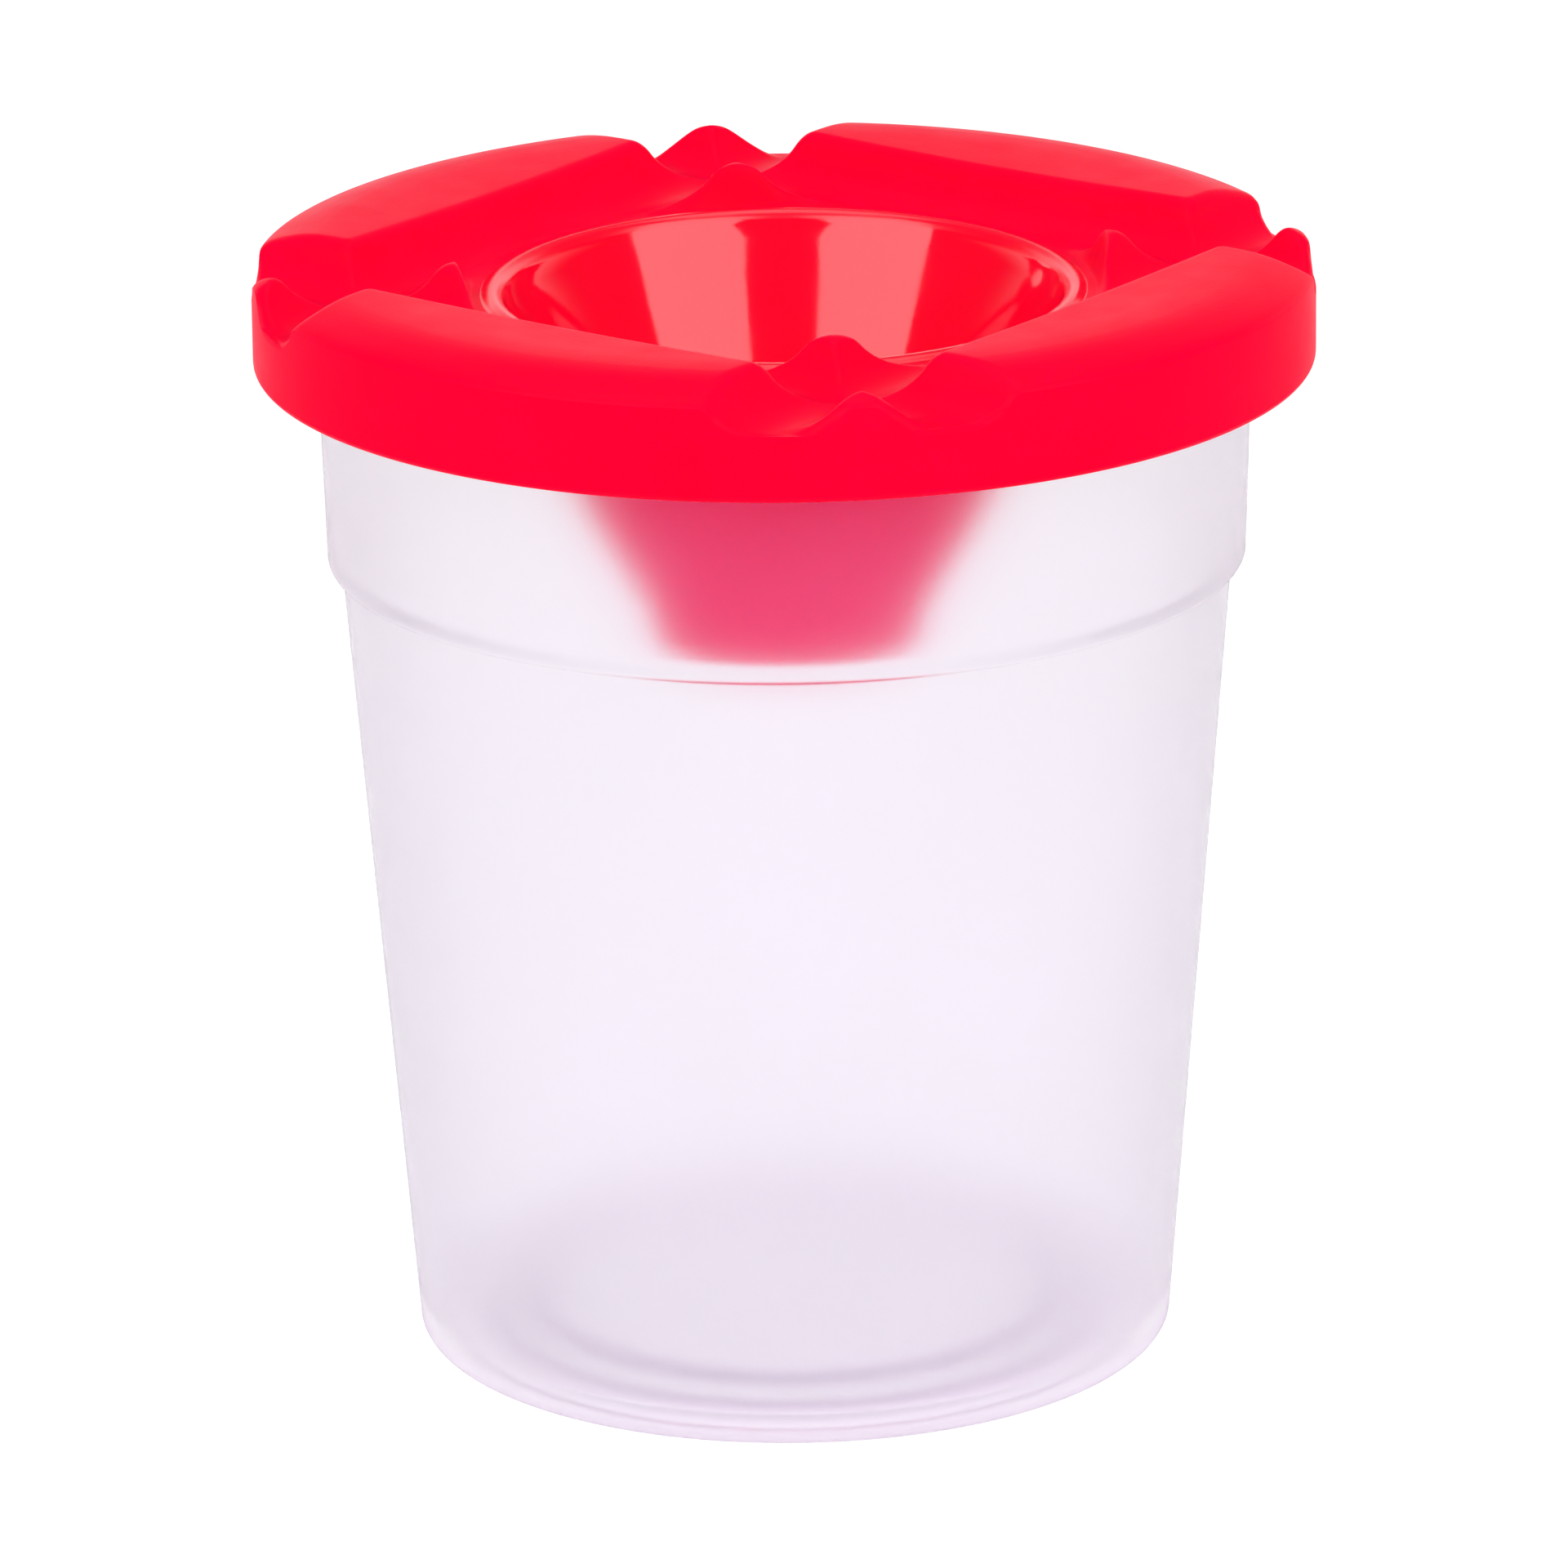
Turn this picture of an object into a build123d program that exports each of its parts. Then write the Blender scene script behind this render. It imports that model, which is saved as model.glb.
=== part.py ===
from build123d import *
import os

os.makedirs("parts", exist_ok=True)

# ---------------------------------------------------------------------------
# Paint cup with a drop-in lid.  Millimetres, +Z up, origin at the centre of
# the cup's base on the ground.  The four straight brush grooves of the lid
# run parallel to X and Y.
# ---------------------------------------------------------------------------

# ---- lid, outside ---------------------------------------------------------
LID_R = 40.0            # outside radius of the lid skirt
SKIRT_BOTTOM = 77.0     # lower edge of the skirt
SKIRT_TOP = 84.15       # edge between the skirt and the domed top
CREST_R = 33.5          # radius of the highest ring of the top
CREST_Z = 85.79         # height of that ring
GROOVE_D = 22.7         # distance of the groove centre lines from the axis
GROOVE_R = 4.3          # radius of the round grooves
GROOVE_Z = 86.5         # height of the groove centre lines
WELL_R = 23.8           # round well inside the four small inner humps
DECK_Z = 82.15          # floor of the well around the funnel mouth

# ---- lid, funnel ----------------------------------------------------------
LIP_R = 22.6            # outside radius of the rounded lip of the mouth
LIP_IN_R = 21.1         # where the lip runs over into the cone
LIP_Z = 82.45           # top of the lip
CONE_TOP_R = 22.35      # outside of the cone just under the deck
CONE_TOP_Z = 80.8
CONE_MID_R = 15.0       # outside of the cone where it gets flatter
CONE_MID_Z = 65.2
CONE_LOW_R = 10.5       # outside of the cone at the spout
CONE_LOW_Z = 57.5
SPOUT_R = 10.0          # outside radius of the spout at its open end
SPOUT_Z = 54.9          # open end of the spout
FUNNEL_WALL = 1.25      # wall of the funnel, measured sideways

# ---- lid, underside -------------------------------------------------------
LID_WALL = 1.4          # wall of the skirt and of the domed top
GROOVE_WALL = 1.25      # wall under the grooves; their undersides end 0.05 above the rim
HOLLOW_EDGE_Z = 82.95   # where the inside of the skirt turns into the dome
PLUG_Z = 76.8           # lower edge of the ring that plugs into the cup
PLUG_R_TOP = 33.82      # outside of the plug ring at the cup's rim
PLUG_R_LOW = 33.70      # outside of the plug ring at its lower edge
PLUG_IN_R = 32.5        # inside of the plug ring
BEAD_R = 38.33          # inside radius of the small bead in the skirt
BEAD_Z = 78.3           # height of the bead's middle

# ---- cup ------------------------------------------------------------------
BASE_R = 28.9           # outside radius just above the foot
FOOT_FILLET = 1.45      # rounding of the foot
FOOT_IN_R = 23.7        # inside radius of the foot ring
FOOT_H = 1.1            # depth of the recess under the base
BODY_R = 33.71          # outside radius of the tapered body at the shoulder
BODY_Z = 61.6           # height where the body meets the shoulder
BAND_R = 34.72          # outside radius of the upper band at its lower edge
BAND_Z = 61.95          # height of that lower edge
BAND_TOP_R = 35.25      # outside radius of the band under the flange
FLANGE_R = 38.2         # outside radius of the rim flange
FLANGE_Z = 79.2         # underside of the flange
RIM_Z = 80.9            # top of the cup; the groove floors of the lid rest on it
RIM_IN_R = 33.9         # inside radius at the rim
BAND_IN_R = 33.4        # inside radius at the foot of the band
BAND_IN_Z = 62.8
BODY_IN_R = 32.4        # inside radius under the inner step
BODY_IN_Z = 61.3
FLOOR_R = 27.7          # inside radius at the floor
FLOOR_Z = 2.0           # floor beside the wall
STEP_R = 19.5           # raised middle of the floor
STEP_Z = 2.6


def turned(sketch_lines):
    """Close the lines into a face in the XZ plane and turn it about Z."""
    face = make_face(sketch_lines)
    return revolve(face, Axis.Z)


def poly(points):
    return Polyline(*[(x, 0, z) for x, z in points], close=True)


# ===========================================================================
# Cup
# ===========================================================================
cup_pts = [
    (0, FOOT_H),
    (FOOT_IN_R - 0.5, FOOT_H),
    (FOOT_IN_R, 0),
    (BASE_R - 0.04, 0),
    (BODY_R, BODY_Z),
    (BAND_R, BAND_Z),
    (BAND_TOP_R, FLANGE_Z),
    (FLANGE_R, FLANGE_Z),
    (FLANGE_R, RIM_Z),
    (RIM_IN_R, RIM_Z),
    (BAND_IN_R, BAND_IN_Z),
    (BODY_IN_R, BODY_IN_Z),
    (FLOOR_R, FLOOR_Z),
    (STEP_R + 0.4, FLOOR_Z),
    (STEP_R, STEP_Z),
    (0, STEP_Z),
]
cup = turned(poly(cup_pts))


def ring_edges(shape, r, z, tol=0.02):
    out = []
    for e in shape.edges().filter_by(GeomType.CIRCLE):
        if abs(e.radius - r) < tol and abs(e.arc_center.Z - z) < tol:
            out.append(e)
    return out


cup = fillet(ring_edges(cup, BASE_R - 0.04, 0), FOOT_FILLET)
cup = fillet(ring_edges(cup, FOOT_IN_R, 0), 0.4)
cup = fillet(ring_edges(cup, BAND_R, BAND_Z), 0.45)
cup = fillet(ring_edges(cup, BODY_R, BODY_Z), 0.25)
cup = fillet(ring_edges(cup, BAND_TOP_R, FLANGE_Z), 0.4)
cup = fillet(ring_edges(cup, FLANGE_R, FLANGE_Z), 0.45)
cup = fillet(ring_edges(cup, FLANGE_R, RIM_Z), 0.45)
cup = fillet(ring_edges(cup, RIM_IN_R, RIM_Z), 0.35)
cup = fillet(ring_edges(cup, BAND_IN_R, BAND_IN_Z), 0.5)
cup = fillet(ring_edges(cup, BODY_IN_R, BODY_IN_Z), 0.5)
cup = fillet(ring_edges(cup, FLOOR_R, FLOOR_Z), 1.2)

# ===========================================================================
# Lid
# ===========================================================================


def domed_body():
    """Solid of revolution under the domed outside of the cap."""
    line = Spline(
        (22.0, 0, 85.30),
        (28.0, 0, 85.60),
        (CREST_R, 0, CREST_Z),
        (37.0, 0, 85.47),
        (39.0, 0, 84.85),
        (LID_R, 0, SKIRT_TOP),
        tangents=[(1, 0, 0.06), (0.42, 0, -0.9)],
    )
    sides = Polyline(
        (LID_R, 0, SKIRT_TOP),
        (LID_R, 0, SKIRT_BOTTOM),
        (0, 0, SKIRT_BOTTOM),
        (0, 0, 85.30),
        (22.0, 0, 85.30),
    )
    return turned(line + sides)


def domed_hollow():
    """The same form one wall further in, open downwards, with the bead."""
    r = LID_R - LID_WALL
    line = Spline(
        (22.0, 0, 83.85),
        (28.0, 0, 84.20),
        (33.5, 0, 84.40),
        (37.0, 0, 83.95),
        (r, 0, HOLLOW_EDGE_Z),
        tangents=[(1, 0, 0.1), (0.2, 0, -1)],
    )
    sides = Polyline(
        (r, 0, HOLLOW_EDGE_Z),
        (r, 0, BEAD_Z + 0.45),
        (BEAD_R, 0, BEAD_Z + 0.1),
        (BEAD_R, 0, BEAD_Z - 0.1),
        (r, 0, BEAD_Z - 0.45),
        (r, 0, SKIRT_BOTTOM - 1),
        (0, 0, SKIRT_BOTTOM - 1),
        (0, 0, 83.85),
        (22.0, 0, 83.85),
    )
    return turned(line + sides)


def grooves(radius, length=100.0):
    """The four straight rounds of the brush grooves."""
    out = []
    for s in (-1, 1):
        out.append(Pos(s * GROOVE_D, 0, GROOVE_Z) * Rot(90, 0, 0)
                   * Cylinder(radius, length))
        out.append(Pos(0, s * GROOVE_D, GROOVE_Z) * Rot(0, 90, 0)
                   * Cylinder(radius, length))
    return out


def disc(r, z0, z1):
    return Pos(0, 0, (z0 + z1) / 2) * Cylinder(r, z1 - z0)


# outside of the cap: domed top, four grooves, round well around the mouth
cap = domed_body()
for g in grooves(GROOVE_R):
    cap = cap - g
cap = cap - disc(WELL_R, DECK_Z, 92)

# inside of the cap: the same form one wall further in
hollow = domed_hollow()
for g in grooves(GROOVE_R + GROOVE_WALL):
    hollow = hollow - g
hollow = hollow - disc(WELL_R + 1.0, DECK_Z - 1.3, 92)
cap = cap - hollow

# the ring that plugs into the mouth of the cup; its outside tapers a little
plug = turned(poly([
    (PLUG_IN_R, PLUG_Z),
    (PLUG_R_LOW, PLUG_Z),
    (PLUG_R_TOP, RIM_Z),
    (PLUG_R_TOP, 85.0),
    (PLUG_IN_R, 85.0),
]))
for g in grooves(GROOVE_R):
    plug = plug - g

# the funnel with its rounded lip and short spout
funnel = turned(poly([
    (LIP_IN_R + 0.75, LIP_Z),
    (LIP_R - 0.45, LIP_Z),
    (LIP_R, DECK_Z),
    (WELL_R + 0.3, DECK_Z),
    (WELL_R + 0.6, CONE_TOP_Z + 0.1),
    (CONE_TOP_R, CONE_TOP_Z),
    (CONE_MID_R, CONE_MID_Z),
    (CONE_LOW_R, CONE_LOW_Z),
    (SPOUT_R, SPOUT_Z),
    (SPOUT_R - FUNNEL_WALL, SPOUT_Z),
    (CONE_LOW_R - FUNNEL_WALL - 0.25, CONE_LOW_Z + 0.3),
    (CONE_MID_R - FUNNEL_WALL - 0.2, CONE_MID_Z + 0.3),
    (LIP_IN_R, DECK_Z - 0.25),
]))

bore = turned(poly([
    (0, SPOUT_Z - 1),
    (SPOUT_R - FUNNEL_WALL, SPOUT_Z - 1),
    (SPOUT_R - FUNNEL_WALL, SPOUT_Z),
    (CONE_LOW_R - FUNNEL_WALL - 0.25, CONE_LOW_Z + 0.3),
    (CONE_MID_R - FUNNEL_WALL - 0.2, CONE_MID_Z + 0.3),
    (LIP_IN_R, DECK_Z - 0.25),
    (LIP_IN_R + 0.75, LIP_Z),
    (LIP_IN_R + 0.75, 92),
    (0, 92),
]))

lid = (cap - bore) + plug + funnel
print("lid solids", len(lid.solids()), "volume", lid.volume)


def try_fillet(shape, edges, radius, name):
    """Round these edges if the kernel can; keep the sharp form otherwise."""
    if not edges:
        print("no edges for", name)
        return shape
    for rad in (radius, radius * 0.7, radius * 0.45):
        try:
            new = fillet(edges, rad)
            if new.is_valid and len(new.solids()) == 1 \
                    and abs(new.volume - shape.volume) < 0.05 * shape.volume:
                print("rounded", name, rad)
                return new
        except Exception as err:
            print("not rounded", name, rad, type(err).__name__)
    return shape


lid = try_fillet(lid, ring_edges(lid, LID_R, SKIRT_BOTTOM), 0.6, "skirt edge")
lid = try_fillet(lid, ring_edges(lid, LIP_R - 0.45, LIP_Z), 0.35, "lip outside")
lid = try_fillet(lid, ring_edges(lid, LIP_IN_R + 0.75, LIP_Z), 0.45, "lip inside")
lid = try_fillet(lid, ring_edges(lid, CONE_MID_R, CONE_MID_Z), 2.0, "cone outside")
lid = try_fillet(lid, ring_edges(lid, CONE_LOW_R, CONE_LOW_Z), 1.2, "spout root")
lid = try_fillet(lid, ring_edges(lid, SPOUT_R, SPOUT_Z), 0.4, "spout end")

# ---- one file per piece ---------------------------------------------------
for name, shape in {"cup": cup, "lid": lid}.items():
    solids = shape.solids()
    body = solids[0] if len(solids) == 1 else Compound(solids)
    body.label = name
    bb = body.bounding_box()
    print(name, "solids", len(solids), "valid", body.is_valid,
          [round(v, 2) for v in (*bb.min, *bb.max)])
    export_step(body, "parts/%s.step" % name)
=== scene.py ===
import math
import bpy
import numpy as np
from mathutils import Matrix, Vector


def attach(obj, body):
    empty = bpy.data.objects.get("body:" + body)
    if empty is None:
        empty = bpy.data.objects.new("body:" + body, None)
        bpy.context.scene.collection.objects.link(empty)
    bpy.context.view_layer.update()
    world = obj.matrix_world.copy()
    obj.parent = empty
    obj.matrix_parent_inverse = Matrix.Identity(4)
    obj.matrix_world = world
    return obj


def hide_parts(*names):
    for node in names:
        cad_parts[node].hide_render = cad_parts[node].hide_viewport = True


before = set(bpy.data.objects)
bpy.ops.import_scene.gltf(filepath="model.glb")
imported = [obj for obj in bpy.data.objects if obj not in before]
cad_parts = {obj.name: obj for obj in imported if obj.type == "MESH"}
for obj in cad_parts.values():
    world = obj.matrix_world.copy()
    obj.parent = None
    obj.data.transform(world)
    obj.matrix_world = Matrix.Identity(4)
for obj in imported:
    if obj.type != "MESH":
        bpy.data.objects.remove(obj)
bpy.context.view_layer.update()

MM = 0.001

# ---------------------------------------------------------------------------
# Form of the lid.  All sizes in millimetres, the same as in the solid model.
# ---------------------------------------------------------------------------
LID_R, SKIRT_BOTTOM = 40.0, 77.0
GROOVE_D, GROOVE_R, GROOVE_Z = 22.7, 4.3, 86.5
GROOVE_UNDER_R = 5.55
WELL_R, DECK_Z, DECK_UNDER_Z = 23.8, 82.15, 80.85
EDGE_R = 1.3
HUMP_IN, HUMP_OUT, HUMP_ROUND = 0.52, 0.72, 0.6

DOME_R = [20.0, 22.0, 25.0, 28.0, 31.0, 33.5, 35.0, 36.0, 37.0, 38.0, 39.0, 39.5, 39.82, 40.0]
DOME_Z = [85.2, 85.3, 85.46, 85.6, 85.72, 85.79, 85.76, 85.66, 85.47, 85.19, 84.85, 84.62, 84.4, 84.15]
UNDER_R = [20.0, 24.0, 30.0, 34.0, 36.5, 37.8, 38.4, 38.6]
UNDER_Z = [83.7, 83.95, 84.3, 84.4, 84.1, 83.6, 83.2, 82.95]


def pchip(xs, ys, x):
    """Monotone cubic through the points, evaluated at the array x."""
    xs, ys, x = (np.asarray(a, float) for a in (xs, ys, x))
    h, d = np.diff(xs), np.diff(ys) / np.diff(xs)
    m = np.zeros(len(xs))
    for i in range(1, len(xs) - 1):
        if d[i - 1] * d[i] > 0:
            w1, w2 = 2 * h[i] + h[i - 1], h[i] + 2 * h[i - 1]
            m[i] = (w1 + w2) / (w1 / d[i - 1] + w2 / d[i])
    m[0], m[-1] = d[0], d[-1]
    i = np.clip(np.searchsorted(xs, x) - 1, 0, len(xs) - 2)
    t = np.clip((x - xs[i]) / h[i], 0.0, 1.0)
    return ((1 + 2 * t) * (1 - t) ** 2 * ys[i] + t * (1 - t) ** 2 * h[i] * m[i]
            + t * t * (3 - 2 * t) * ys[i + 1] + t * t * (t - 1) * h[i] * m[i + 1])


def smin(a, b, k):
    """Smooth minimum: the meeting edge gets a rounding about k wide."""
    h = np.clip(0.5 + 0.5 * (b - a) / k, 0.0, 1.0)
    return b + (a - b) * h - k * h * (1 - h)


def step(a, b, x):
    t = np.clip((x - a) / (b - a), 0.0, 1.0)
    return t * t * (3 - 2 * t)


def groove(t, top, f):
    """A round groove sunk into a surface of height top, at the distance t from
    its centre line; its upper edges are rounded with the radius f."""
    t = np.abs(t)
    reach = GROOVE_R + f
    drop = np.minimum(GROOVE_Z - top + f, reach)
    start = np.sqrt(np.maximum(reach ** 2 - drop ** 2, 0.0))
    meet = start * GROOVE_R / reach
    rounded = top - f + np.sqrt(np.maximum(f * f - np.maximum(start - t, 0.0) ** 2, 0.0))
    hollow = GROOVE_Z - np.sqrt(np.maximum(GROOVE_R ** 2 - np.minimum(t, GROOVE_R) ** 2, 0.0))
    return np.where(t >= start, top, np.where(t >= meet, rounded, hollow))


def top_height(r, a):
    """Upper surface of the lid at radius r and azimuth a."""
    x, y = np.abs(r * np.cos(a)), np.abs(r * np.sin(a))
    dome = pchip(DOME_R, DOME_Z, r)
    # the two orders of sinking the grooves are averaged, so that a corner is even
    z1 = groove(y - GROOVE_D, groove(x - GROOVE_D, dome, EDGE_R), EDGE_R)
    z2 = groove(x - GROOVE_D, groove(y - GROOVE_D, dome, EDGE_R), EDGE_R)
    z = 0.5 * (z1 + z2)
    # the small corner pieces between two grooves are peaked and rounded
    s = r * (np.mod(a, math.pi / 2) - math.pi / 4)
    bottom = GROOVE_Z - GROOVE_R
    slope = np.where(r > 31.0, HUMP_OUT, HUMP_IN)
    peak = dome + np.where(r > 31.0, 0.3, 0.1) - (np.sqrt((slope * s) ** 2 + HUMP_ROUND ** 2) - HUMP_ROUND)
    cap = -smin(-peak, -(bottom - 0.05), 0.6)
    apart = np.maximum(np.minimum(x - GROOVE_D, y - GROOVE_D), np.minimum(GROOVE_D - x, GROOVE_D - y))
    z = z + (smin(z, cap, 0.3) - z) * step(0.0, 1.2, apart)
    # the outer ends of the grooves are a little rounded over the skirt
    e = 0.55
    cut = step(0.15, 0.9, dome - z)
    drop = e - np.sqrt(np.maximum(e * e - np.maximum(r - (LID_R - e), 0.0) ** 2, 0.0))
    return z - drop * cut * 0.9


def well_step(r):
    """0 on the floor of the well, 1 outside it."""
    return step(23.45, 24.8, r)


def under_height(r, a):
    """Lower surface of the lid's top wall."""
    x, y = np.abs(r * np.cos(a)), np.abs(r * np.sin(a))
    z = pchip(UNDER_R, UNDER_Z, r)

    def g(t):
        inside = np.sqrt(np.maximum(GROOVE_UNDER_R ** 2 - t ** 2, 0.0))
        over = np.maximum(np.abs(t) - GROOVE_UNDER_R * 0.985, 0.0)
        return GROOVE_Z - inside + over * 14.0
    z = smin(z, g(x - GROOVE_D), 0.5)
    z = smin(z, g(y - GROOVE_D), 0.5)
    w = step(24.3, 25.1, r)
    return DECK_UNDER_Z * (1 - w) + np.maximum(z, DECK_UNDER_Z) * w


def arc(cx, cz, radius, a0, a1, n):
    """Points of a rounding, angles in degrees, both ends included."""
    return [(cx + radius * math.cos(math.radians(a)), cz + radius * math.sin(math.radians(a)))
            for a in np.linspace(a0, a1, n)]


def azimuths():
    """Sample angles: fine round the crossings of the grooves, coarser between."""
    quarter = list(np.linspace(-22.0, 22.0, 88, endpoint=False)) + \
        list(np.linspace(22.0, 68.0, 212, endpoint=False))
    return np.radians(np.array([q + 90 * k for k in range(4) for q in quarter]))


def ring_mesh(name, rings, closed=True):
    """A mesh from rings of points (N x 3 arrays); the number of points may
    change from ring to ring by a whole factor."""
    verts, starts = [], []
    for ring in rings:
        starts.append(len(verts))
        verts.extend(map(tuple, ring))
    faces = []
    count = len(rings)
    for i in range(count if closed else count - 1):
        j = (i + 1) % count
        na, nb = len(rings[i]), len(rings[j])
        sa, sb = starts[i], starts[j]
        if na == nb:
            faces += [(sa + k, sa + (k + 1) % na, sb + (k + 1) % nb, sb + k) for k in range(na)]
        elif na > nb:
            f = na // nb
            for k in range(nb):
                many = [sa + (k * f + m) % na for m in range(f + 1)]
                faces.append(tuple(many + [sb + (k + 1) % nb, sb + k]))
        else:
            f = nb // na
            for k in range(na):
                many = [sb + (k * f + m) % nb for m in range(f, -1, -1)]
                faces.append(tuple([sa + k, sa + (k + 1) % na] + many))
    me = bpy.data.meshes.new(name)
    me.from_pydata(verts, [], faces)
    me.validate()
    me.update()
    me.polygons.foreach_set("use_smooth", [True] * len(me.polygons))
    ob = bpy.data.objects.new(name, me)
    bpy.context.scene.collection.objects.link(ob)
    return ob


def outward(ob):
    """Turn the faces so that they look out of the closed mesh."""
    me = ob.data
    vol = 0.0
    me.calc_loop_triangles()
    co = np.zeros(len(me.vertices) * 3)
    me.vertices.foreach_get("co", co)
    co = co.reshape(-1, 3)
    tri = np.zeros(len(me.loop_triangles) * 3, int)
    me.loop_triangles.foreach_get("vertices", tri)
    tri = tri.reshape(-1, 3)
    vol = np.einsum("ij,ij->i", co[tri[:, 0]], np.cross(co[tri[:, 1]], co[tri[:, 2]])).sum() / 6
    if vol < 0:
        me.flip_normals()
    print(ob.name, "volume mm3", round(abs(vol) * 1e9, 1), "faces", len(me.polygons))
    return ob


def build_lid():
    az = azimuths()
    coarse = 4

    def ring(r, z, every=1):
        a = az[::every]
        rr = np.broadcast_to(np.asarray(r, float), a.shape)
        zz = np.broadcast_to(np.asarray(z, float), a.shape)
        return np.stack([rr * np.cos(a) * MM, rr * np.sin(a) * MM, zz * MM], -1)

    rings = []

    def plain(points, every):
        for r, z in points:
            rings.append(ring(r, z, every))

    # inside of the spout and of the cone, from below
    inner = [(8.9, 55.02), (8.78, 55.25), (8.76, 56.2), (8.82, 57.2), (9.0, 57.75), (9.3, 58.35),
             (9.8, 59.2), (10.5, 60.35), (11.3, 61.7), (12.1, 63.05), (12.85, 64.3), (13.45, 65.35),
             (14.1, 66.7), (14.9, 68.4), (15.8, 70.35), (16.7, 72.3), (17.6, 74.25), (18.5, 76.2),
             (19.3, 77.95), (20.0, 79.45), (20.55, 80.6), (20.85, 81.2)]
    plain(inner, 1)
    # rounded lip of the mouth
    lip = [(21.0, 81.62), (21.12, 81.95), (21.3, 82.25), (21.52, 82.47), (21.8, 82.58), (22.1, 82.57),
           (22.36, 82.46), (22.56, 82.3), (22.72, 82.17)]
    plain(lip, 1)
    # floor of the well, steep inner faces of the humps, the domed top
    radial = [22.85, 23.1] + list(np.arange(23.3, 24.3, 0.075)) + list(np.arange(24.3, 39.35, 0.15)) + \
        [39.42, 39.52, 39.6, 39.68, 39.76, 39.83, 39.9, 39.95, 39.985, 40.0]
    for r in radial:
        w = well_step(r)
        z = DECK_Z * (1 - w) + np.maximum(top_height(r, az), DECK_Z) * w
        rings.append(ring(r, z))
    # skirt
    z_top = top_height(40.0, az)
    low = SKIRT_BOTTOM + 0.6
    for f in (0.02, 0.06, 0.12, 0.22, 0.36, 0.52, 0.7, 0.88, 1.0):
        rings.append(ring(40.0, z_top * (1 - f) + low * f))
    plain(arc(39.45, low, 0.55, -12, -90, 7), 2)
    plain(arc(38.95, SKIRT_BOTTOM + 0.35, 0.3, -90, -180, 5), 2)
    # inside of the skirt with its small bead
    plain([(38.63, 77.7), (38.6, 77.85), (38.5, 78.0), (38.36, 78.2), (38.33, 78.3), (38.36, 78.4),
           (38.5, 78.6), (38.6, 78.75), (38.6, 80.0)], 2)
    a2 = az[::2]
    for r, f in ((38.6, 0.5), (38.6, 0.8), (38.6, 0.95), (38.55, 1.0)):
        rings.append(ring(r, 80.0 * (1 - f) + under_height(38.6, a2) * f, 2))
    for r in (38.3, 38.0, 37.6, 37.1, 36.6, 36.0, 35.4, 34.8, 34.3, 34.0):
        rings.append(ring(r, under_height(r, a2), 2))
    # ring that plugs into the cup
    top = under_height(33.82, a2)
    for f in (0.0, 0.06, 0.2, 0.5, 0.8, 1.0):
        rings.append(ring(33.82 - 0.12 * f, top * (1 - f) + 77.2 * f, 2))
    plain(arc(33.3, 77.2, 0.4, 0, -90, 6), 2)
    plain(arc(32.9, 77.2, 0.4, -90, -180, 6), 2)
    top = under_height(32.5, a2)
    for f in (0.2, 0.5, 0.8, 0.94, 1.0):
        rings.append(ring(32.5, top * f + 77.2 * (1 - f), 2))
    for r in list(np.arange(32.2, 25.2, -0.3)) + list(np.arange(25.15, 24.2, -0.12)) + [23.9, 23.4, 22.9]:
        rings.append(ring(r, under_height(r, a2), 2))
    # outside of the cone and the spout, down to the open end
    outer = [(22.6, 80.84), (22.42, 80.74), (22.3, 80.5), (22.0, 79.95), (21.4, 78.7), (20.4, 76.6),
             (19.3, 74.25), (18.2, 71.95), (17.1, 69.65), (16.1, 67.55), (15.4, 66.1), (15.0, 65.25),
             (14.5, 64.35), (13.8, 63.15), (13.0, 61.8), (12.2, 60.45), (11.5, 59.25), (10.95, 58.3),
             (10.65, 57.7), (10.48, 57.2), (10.36, 56.6), (10.2, 55.9), (10.08, 55.35)]
    plain(outer, coarse)
    plain([(10.0, 55.14), (9.86, 54.98), (9.66, 54.9), (9.3, 54.9), (9.08, 54.93)], coarse)
    return outward(ring_mesh("lid_shell", rings))


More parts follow.
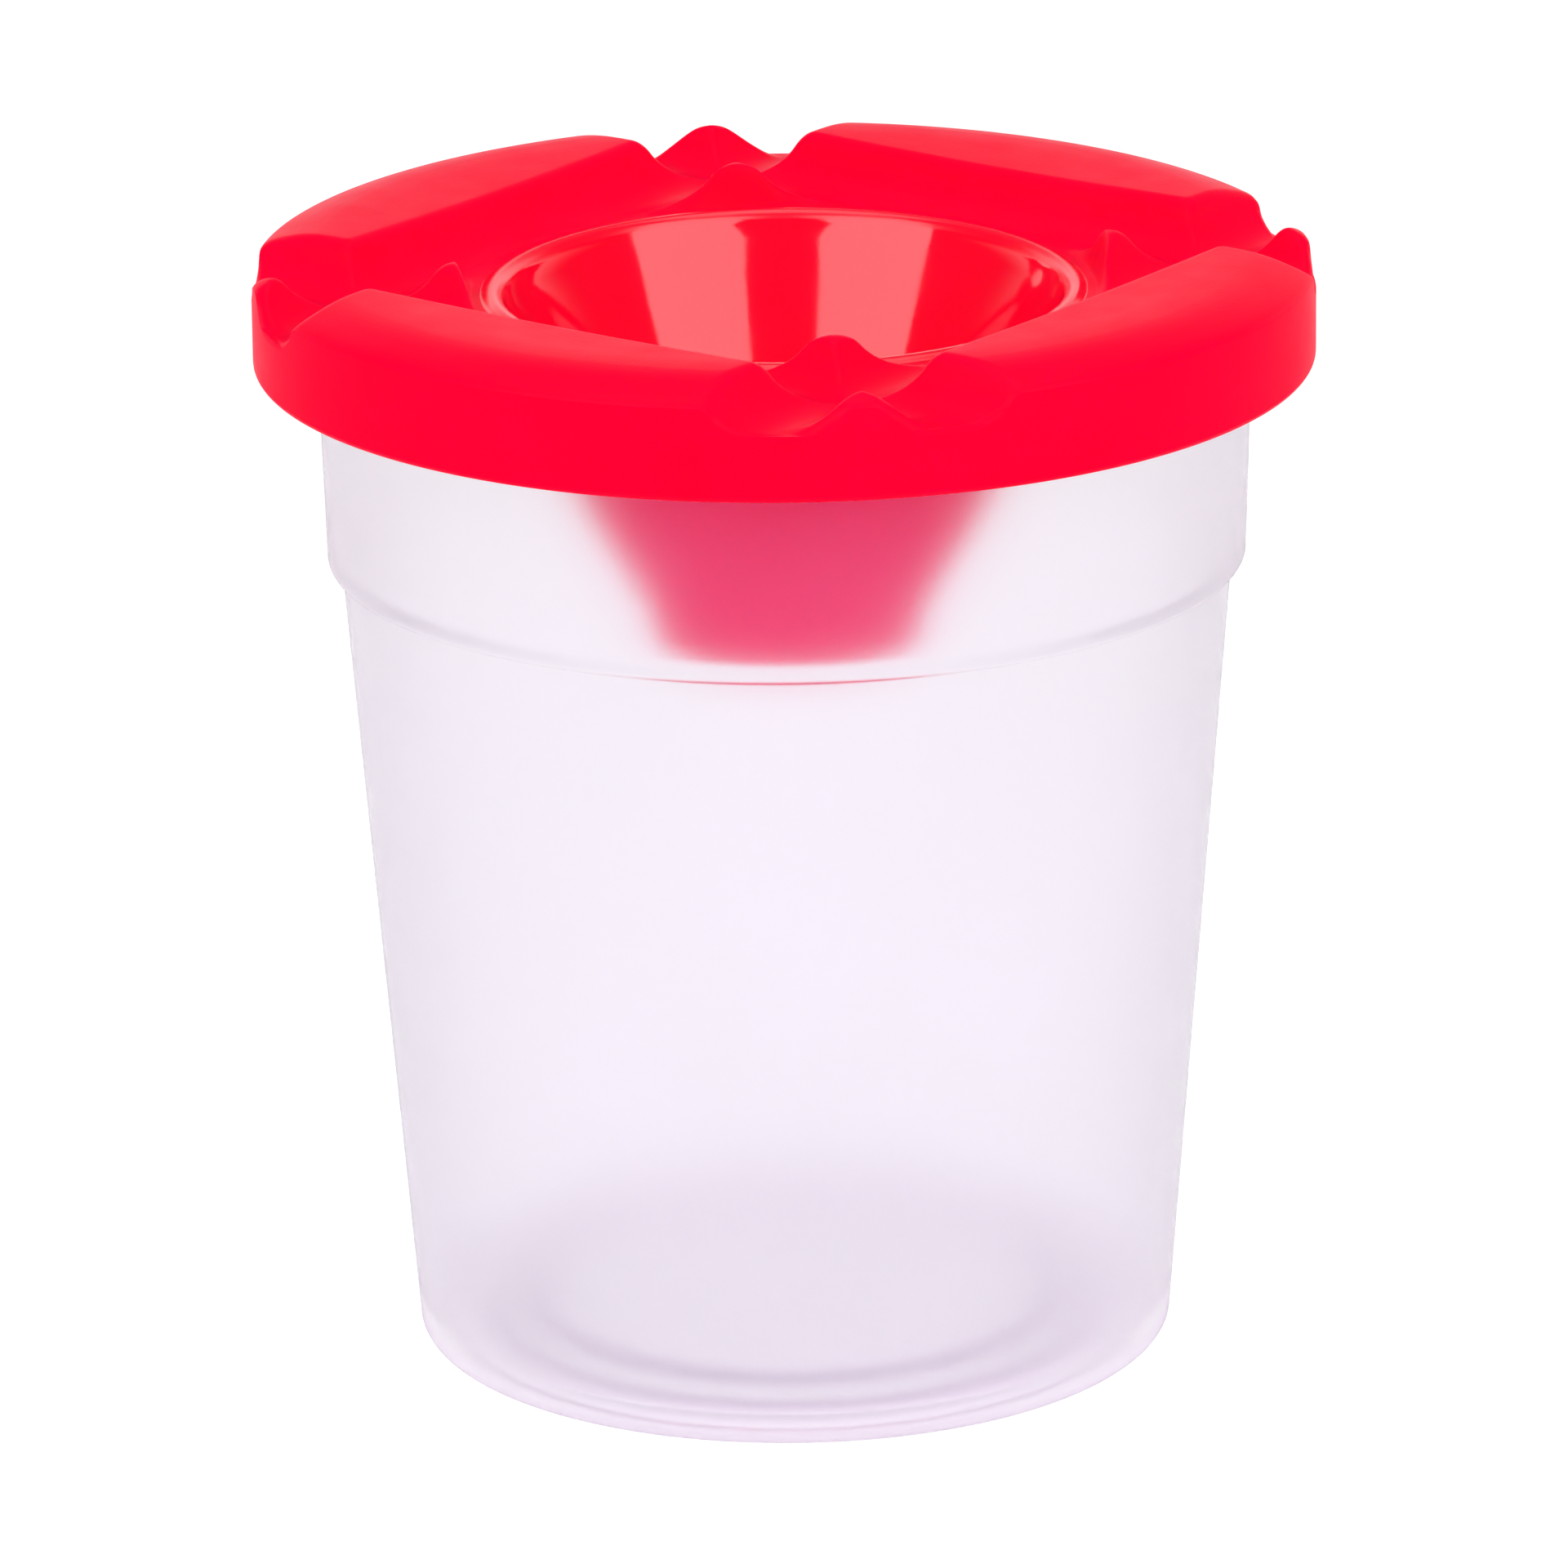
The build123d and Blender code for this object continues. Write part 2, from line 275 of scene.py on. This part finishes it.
def build_cup():
    """The cup as one closed turned form with real wall thickness."""
    n = 360
    a = np.linspace(0, 2 * math.pi, n, endpoint=False)
    pts = []
    # underside of the base, from the middle out, then up the outside
    pts += [(0.6, 1.1), (6.0, 1.1), (12.0, 1.1), (17.0, 1.1), (20.5, 1.1), (22.6, 1.1)]
    pts += [(23.0, 1.04), (23.25, 0.85), (23.45, 0.55), (23.62, 0.3), (23.8, 0.12), (24.05, 0.02),
            (24.4, 0.0), (25.4, 0.0), (26.5, 0.0), (27.2, 0.0)]
    pts += arc(27.45, 1.45, 1.45, -86, -2, 12)
    z = np.linspace(1.7, 61.3, 60)
    pts += [(28.9 + (zz - 1.5) * 0.0798, zz) for zz in z]
    pts += [(33.69, 61.42), (33.74, 61.54), (33.86, 61.62), (34.05, 61.68), (34.25, 61.73)]
    pts += arc(34.28, 62.2, 0.45, -80, -2, 8)
    z = np.linspace(62.5, 78.7, 16)
    pts += [(34.73 + (zz - 62.3) * 0.031, zz) for zz in z]
    pts += [(35.28, 78.95), (35.36, 79.1), (35.52, 79.18), (35.75, 79.2), (36.6, 79.2), (37.5, 79.2)]
    pts += arc(37.75, 79.65, 0.45, -84, 0, 6)
    pts += arc(37.75, 80.45, 0.45, 0, 90, 7)
    pts += [(37.2, 80.9), (36.2, 80.9), (35.2, 80.9), (34.6, 80.9)]
    pts += arc(34.25, 80.55, 0.35, 96, 178, 6)
    z = np.linspace(80.2, 63.3, 14)
    pts += [(33.9 - (80.9 - zz) * 0.0276, zz) for zz in z]
    pts += [(33.38, 63.0), (33.32, 62.75), (33.2, 62.5), (33.0, 62.2), (32.8, 61.9), (32.6, 61.6),
            (32.48, 61.35), (32.4, 61.1), (32.36, 60.8)]
    z = np.linspace(60.2, 3.6, 50)
    pts += [(27.7 + (zz - 2.0) * 0.07926, zz) for zz in z]
    pts += arc(26.55, 3.2, 1.2, -8, -88, 9)
    pts += [(25.5, 2.0), (23.5, 2.0), (21.5, 2.0), (20.3, 2.0), (20.0, 2.02), (19.85, 2.1), (19.7, 2.3),
            (19.55, 2.48), (19.4, 2.57), (19.2, 2.6), (18.4, 2.6), (15.0, 2.6), (10.0, 2.6), (5.0, 2.6),
            (0.6, 2.6)]
    verts, faces = [], []
    for r, zz in pts:
        verts += [(r * math.cos(t) * MM, r * math.sin(t) * MM, zz * MM) for t in a]
    for i in range(len(pts) - 1):
        b, c = i * n, (i + 1) * n
        faces += [(b + k, b + (k + 1) % n, c + (k + 1) % n, c + k) for k in range(n)]
    low, high = len(verts), len(verts) + 1
    verts += [(0, 0, 1.1 * MM), (0, 0, 2.6 * MM)]
    last = (len(pts) - 1) * n
    faces += [(low, (k + 1) % n, k) for k in range(n)]
    faces += [(high, last + k, last + (k + 1) % n) for k in range(n)]
    me = bpy.data.meshes.new("cup_shell")
    me.from_pydata(verts, [], faces)
    me.validate()
    me.update()
    me.polygons.foreach_set("use_smooth", [True] * len(me.polygons))
    ob = bpy.data.objects.new("cup_shell", me)
    bpy.context.scene.collection.objects.link(ob)
    return outward(ob)


# ---------------------------------------------------------------------------
# Materials
# ---------------------------------------------------------------------------
class Nodes:
    def __init__(self, name):
        self.mat = bpy.data.materials.new(name)
        self.mat.use_nodes = True
        self.tree = self.mat.node_tree
        self.tree.nodes.clear()

    def add(self, kind, **props):
        node = self.tree.nodes.new(kind)
        for key, value in props.items():
            if key == "inputs":
                for k, v in value.items():
                    node.inputs[k].default_value = v
            else:
                setattr(node, key, value)
        return node

    def link(self, a, b):
        self.tree.links.new(a, b)

    def ramp(self, fac, stops):
        node = self.add("ShaderNodeValToRGB")
        el = node.color_ramp.elements
        while len(el) < len(stops):
            el.new(0.5)
        for e, (p, c) in zip(el, stops):
            e.position = p
            e.color = c if len(c) == 4 else (*c, 1)
        self.link(fac, node.inputs[0])
        return node

    def math(self, operation, *values):
        node = self.add("ShaderNodeMath", operation=operation)
        for i, v in enumerate(values):
            if hasattr(v, "links"):
                self.link(v, node.inputs[i])
            else:
                node.inputs[i].default_value = v
        return node.outputs[0]

    def maprange(self, value, a, b, c, d):
        node = self.add("ShaderNodeMapRange", inputs={1: a, 2: b, 3: c, 4: d})
        self.link(value, node.inputs[0])
        return node.outputs[0]


def lid_material(kind):
    """Moulded red plastic: a fine mould texture outside, smooth inside the
    funnel, in between on the rounded lip, and a lighter red on the outside of
    the funnel, which is painted light standing in for the light that reaches
    it through the cup. The upright skirt reflects least."""
    m = Nodes("red_plastic_" + kind)
    gloss = kind in ("smooth", "satin")
    coord = m.add("ShaderNodeTexCoord")
    obj = coord.outputs["Object"]
    out = m.add("ShaderNodeOutputMaterial")
    bsdf = m.add("ShaderNodeBsdfPrincipled",
                 inputs={"IOR": 1.49, "Specular IOR Level": 0.55 if gloss else 0.005 if kind == "skirt" else 0.015,
                         "Subsurface Weight": 0.6, "Subsurface Radius": (0.0030, 0.0002, 0.0004),
                         "Subsurface Scale": 1.0})
    # colour: slight cloudiness of the moulded pigment
    cloud = m.add("ShaderNodeTexNoise", inputs={"Scale": 90.0, "Detail": 4.0, "Roughness": 0.55})
    m.link(obj, cloud.inputs["Vector"])
    # painted light: the outside of the funnel gets a lighter red than the same plastic elsewhere, standing in for the
    # light that reaches it through the cup
    low, high = ((0.97, 0.0003, 0.068), (1.0, 0.0006, 0.078)) if kind == "funnel" else \
        ((0.91, 0.0002, 0.026), (0.96, 0.0004, 0.031))
    col = m.ramp(cloud.outputs["Fac"], [(0.3, low), (0.7, high)])
    m.link(col.outputs["Color"], bsdf.inputs["Base Color"])
    wave = m.add("ShaderNodeTexNoise", inputs={"Scale": 260.0, "Detail": 2.0})
    m.link(obj, wave.inputs["Vector"])
    lo, hi = {"smooth": (0.07, 0.10), "satin": (0.20, 0.24), "matte": (0.31, 0.37), "skirt": (0.31, 0.37),
              "funnel": (0.36, 0.42)}[kind]
    m.link(m.maprange(wave.outputs["Fac"], 0.3, 0.7, lo, hi), bsdf.inputs["Roughness"])
    grain = m.add("ShaderNodeTexNoise", inputs={"Scale": 2600.0, "Detail": 3.0, "Roughness": 0.6})
    m.link(obj, grain.inputs["Vector"])
    bump = m.add("ShaderNodeBump", inputs={"Strength": 0.02 if gloss else 0.25, "Distance": 0.00006})
    m.link(grain.outputs["Fac"], bump.inputs["Height"])
    bump2 = m.add("ShaderNodeBump", inputs={"Strength": 0.12 if gloss else 0.2, "Distance": 0.00008})
    m.link(wave.outputs["Fac"], bump2.inputs["Height"])
    m.link(bump.outputs[0], bump2.inputs["Normal"])
    m.link(bump2.outputs[0], bsdf.inputs["Normal"])
    m.link(bsdf.outputs[0], out.inputs[0])
    return m.mat


def cup_material():
    """Frosted plastic: mostly clear with a wide blur, and a little milky haze."""
    m = Nodes("frosted_plastic")
    coord = m.add("ShaderNodeTexCoord")
    obj = coord.outputs["Object"]
    out = m.add("ShaderNodeOutputMaterial")
    # painted shade: darker, hazier bands at the inner corner of the foot recess and at the step of the inner floor
    # stand in for the shade in these creases; the solid foot ring also holds more haze than the thin walls
    sep = m.add("ShaderNodeSeparateXYZ")
    m.link(obj, sep.inputs[0])
    x, y, z = sep.outputs
    radius = m.math("SQRT", m.math("ADD", m.math("MULTIPLY", x, x), m.math("MULTIPLY", y, y)))
    off = m.math("ABSOLUTE", m.math("SUBTRACT", radius, 0.02305))
    foot_painted_shade = m.math("MULTIPLY", m.maprange(off, 0.0003, 0.0008, 0.7, 0.0), m.maprange(z, 0.0011, 0.0014, 1.0, 0.0))
    # painted shade: a dark band along the step of the inner floor
    off = m.math("ABSOLUTE", m.math("SUBTRACT", radius, 0.0199))
    edge = m.math("MULTIPLY", m.maprange(off, 0.0003, 0.0008, 0.7, 0.0), m.maprange(z, 0.0015, 0.0018, 0.0, 1.0))
    edge = m.math("MULTIPLY", edge, m.maprange(z, 0.0028, 0.0032, 1.0, 0.0))
    thick = m.math("MULTIPLY", m.maprange(z, 0.0005, 0.0035, 0.13, 0.0), m.maprange(radius, 0.0236, 0.0250, 0.0, 1.0))
    cloud = m.add("ShaderNodeTexNoise", inputs={"Scale": 55.0, "Detail": 3.0})
    m.link(obj, cloud.inputs["Vector"])
    grain = m.add("ShaderNodeTexNoise", inputs={"Scale": 1700.0, "Detail": 3.0})
    m.link(obj, grain.inputs["Vector"])
    bump = m.add("ShaderNodeBump", inputs={"Strength": 0.2, "Distance": 0.00006})
    m.link(grain.outputs["Fac"], bump.inputs["Height"])
    rough = m.maprange(cloud.outputs["Fac"], 0.3, 0.7, 0.40, 0.44)
    clear = m.add("ShaderNodeBsdfPrincipled",
                  inputs={"IOR": 1.14, "Transmission Weight": 1.0, "Specular IOR Level": 0.5})
    col = m.ramp(cloud.outputs["Fac"], [(0.3, (0.945, 0.955, 0.953)), (0.7, (0.953, 0.963, 0.961))])
    m.link(col.outputs["Color"], clear.inputs["Base Color"])
    m.link(rough, clear.inputs["Roughness"])
    m.link(bump.outputs[0], clear.inputs["Normal"])
    milk = m.add("ShaderNodeBsdfPrincipled", inputs={"Roughness": 0.6, "Specular IOR Level": 0.1})
    col2 = m.ramp(cloud.outputs["Fac"], [(0.3, (0.72, 0.36, 0.84)), (0.7, (0.78, 0.42, 0.90))])
    # the painted shade bands at the foot and the floor step take this dark tint and extra milk
    painted_shade_tone = m.add("ShaderNodeMixRGB", inputs={"Color2": (0.24, 0.20, 0.32, 1)})
    m.link(m.math("ADD", foot_painted_shade, edge), painted_shade_tone.inputs["Fac"])
    m.link(col2.outputs["Color"], painted_shade_tone.inputs["Color1"])
    m.link(painted_shade_tone.outputs["Color"], milk.inputs["Base Color"])
    m.link(bump.outputs[0], milk.inputs["Normal"])
    mix = m.add("ShaderNodeMixShader")
    thin = m.maprange(cloud.outputs["Fac"], 0.3, 0.7, 0.052, 0.062)
    painted_shade_weight = m.math("MULTIPLY", m.math("ADD", foot_painted_shade, edge), 0.45)
    m.link(m.math("ADD", m.math("ADD", thin, thick), painted_shade_weight), mix.inputs[0])
    m.link(clear.outputs[0], mix.inputs[1])
    m.link(milk.outputs[0], mix.inputs[2])
    m.link(mix.outputs[0], out.inputs[0])
    return m.mat


def floor_material():
    """A white light table: it glows evenly, so it shows almost no shadow."""
    m = Nodes("white_table")
    out = m.add("ShaderNodeOutputMaterial")
    noise = m.add("ShaderNodeTexNoise", inputs={"Scale": 3.0, "Detail": 2.0})
    col = m.ramp(noise.outputs["Fac"], [(0.0, (0.10, 0.10, 0.10)), (1.0, (0.12, 0.12, 0.12))])
    bsdf = m.add("ShaderNodeBsdfPrincipled",
                 inputs={"Roughness": 0.9, "Specular IOR Level": 0.0,
                         "Emission Color": (1, 1, 1, 1), "Emission Strength": 0.99})
    m.link(col.outputs["Color"], bsdf.inputs["Base Color"])
    # clear from below, so that the underside of the object can be looked at
    below = m.add("ShaderNodeNewGeometry")
    clear = m.add("ShaderNodeBsdfTransparent")
    mix = m.add("ShaderNodeMixShader")
    m.link(below.outputs["Backfacing"], mix.inputs[0])
    m.link(bsdf.outputs[0], mix.inputs[1])
    m.link(clear.outputs[0], mix.inputs[2])
    m.link(mix.outputs[0], out.inputs[0])
    return m.mat


# ---------------------------------------------------------------------------
# Pieces
# ---------------------------------------------------------------------------
lid = build_lid()
for kind in ("matte", "smooth", "satin", "funnel", "skirt"):
    lid.data.materials.append(lid_material(kind))
for poly in lid.data.polygons:
    c = poly.center
    r = math.hypot(c.x, c.y) / MM
    if r < 22.85 and (c.z > 0.0815 or r < 9.4 or (poly.normal.x * c.x + poly.normal.y * c.y) < 0):
        poly.material_index = 2 if 21.1 < r and c.z > 0.0813 else 1
    elif r < 22.3 and c.z < 0.0806:
        poly.material_index = 3
    elif r > 39.3 and abs(poly.normal.z) < 0.25:
        poly.material_index = 4
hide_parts("lid")
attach(lid, "lid")

cup = build_cup()
cup.data.materials.append(cup_material())
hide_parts("cup")
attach(cup, "cup")

# ---------------------------------------------------------------------------
# Floor, lights, camera
# ---------------------------------------------------------------------------
me = bpy.data.meshes.new("floor")
s = 6.0
me.from_pydata([(-s, -s, 0), (s, -s, 0), (s, s, 0), (-s, s, 0)], [], [(0, 1, 2, 3)])
floor = bpy.data.objects.new("floor", me)
bpy.context.scene.collection.objects.link(floor)
floor.data.materials.append(floor_material())

TURN = math.radians(36.8)          # photo frame -> part frame
RZ = Matrix.Rotation(TURN, 3, "Z")


def area(name, az, el, dist, w, h, power, aim=(0, 0, 0.06), color=(1, 1, 1)):
    """A softbox. az is its azimuth in the photo frame: -90 is at the camera."""
    a, e = math.radians(az), math.radians(el)
    p = Vector((math.cos(e) * math.cos(a), math.cos(e) * math.sin(a), math.sin(e))) * dist
    p = RZ @ (p + Vector(aim))
    data = bpy.data.lights.new(name, "AREA")
    data.shape = "RECTANGLE"
    data.size, data.size_y = w, h
    data.energy = power
    data.color = color
    ob = bpy.data.objects.new(name, data)
    bpy.context.scene.collection.objects.link(ob)
    d = (RZ @ Vector(aim)) - p
    ob.location = p
    ob.rotation_euler = d.to_track_quat("-Z", "Y").to_euler()
    return ob


area("softbox_left", -134, 36, 1.5, 1.18, 1.1, 14)
area("softbox_right", -45, 36, 1.5, 1.18, 1.1, 14)
area("overhead", 90, 84, 1.6, 1.4, 1.2, 9)

# the room: a white wall behind and beside the object, dim on the camera's side
world = bpy.data.worlds.new("studio")
bpy.context.scene.world = world
world.use_nodes = True
wt = world.node_tree
bg = wt.nodes["Background"]
tc = wt.nodes.new("ShaderNodeTexCoord")


def wnode(kind, **props):
    node = wt.nodes.new(kind)
    for key, value in props.items():
        setattr(node, key, value)
    return node


def wfeed(node, *values):
    for i, v in enumerate(values):
        if v is None:
            continue
        if hasattr(v, "links"):
            wt.links.new(v, node.inputs[i])
        else:
            node.inputs[i].default_value = v
    return node.outputs[0]


sepw = wnode("ShaderNodeSeparateXYZ")
wt.links.new(tc.outputs["Generated"], sepw.inputs[0])
dx, dy, dz = sepw.outputs
backward = RZ @ Vector((0, 1, 0))
along = wfeed(wnode("ShaderNodeMath", operation="ADD"),
              wfeed(wnode("ShaderNodeMath", operation="MULTIPLY"), dx, backward.x),
              wfeed(wnode("ShaderNodeMath", operation="MULTIPLY"), dy, backward.y))
flat = wfeed(wnode("ShaderNodeMath", operation="SQRT"),
             wfeed(wnode("ShaderNodeMath", operation="SUBTRACT"), 1.0001,
                   wfeed(wnode("ShaderNodeMath", operation="MULTIPLY"), dz, dz)))
cosaz = wfeed(wnode("ShaderNodeMath", operation="DIVIDE"), along, flat)
side = wfeed(wnode("ShaderNodeMapRange", interpolation_type="SMOOTHSTEP"), cosaz, 0.45, 0.72, 0.0, 1.0)
low = wfeed(wnode("ShaderNodeMapRange", interpolation_type="SMOOTHSTEP"), dz, 0.28, 0.52, 1.0, 0.10)
wall = wfeed(wnode("ShaderNodeMath", operation="MULTIPLY"), side, low)
glow = wfeed(wnode("ShaderNodeMath", operation="MULTIPLY"), wall, 1.2)
band = wfeed(wnode("ShaderNodeMapRange", interpolation_type="SMOOTHSTEP"), dz, 0.05, 0.30, 1.35, 0.05)
total = wfeed(wnode("ShaderNodeMath", operation="MAXIMUM"), glow, band)
bg.inputs[0].default_value = (1, 1, 1, 1)
wt.links.new(total, bg.inputs[1])

cam_data = bpy.data.cameras.new("camera")
cam_data.sensor_width = 36.0
cam_data.lens = 271.159
cam_data.clip_start, cam_data.clip_end = 0.05, 60.0
cam = bpy.data.objects.new("camera", cam_data)
bpy.context.scene.collection.objects.link(cam)
ELEV, ROLL = math.radians(17.816), math.radians(-0.67)
fwd = Vector((0, math.cos(ELEV), -math.sin(ELEV)))
right = Vector((1, 0, 0))
up = right.cross(fwd)
r2 = right * math.cos(ROLL) + up * math.sin(ROLL)
u2 = -right * math.sin(ROLL) + up * math.cos(ROLL)
loc = RZ @ (Vector((-0.415, -856.839, 318.433)) * MM)
rot = Matrix((RZ @ r2, RZ @ u2, RZ @ -fwd)).transposed()
cam.matrix_world = Matrix.Translation(loc) @ rot.to_4x4()
bpy.context.scene.camera = cam

bpy.context.scene.view_settings.view_transform = "Standard"
bpy.context.scene.view_settings.look = "None"

bpy.context.view_layer.update()
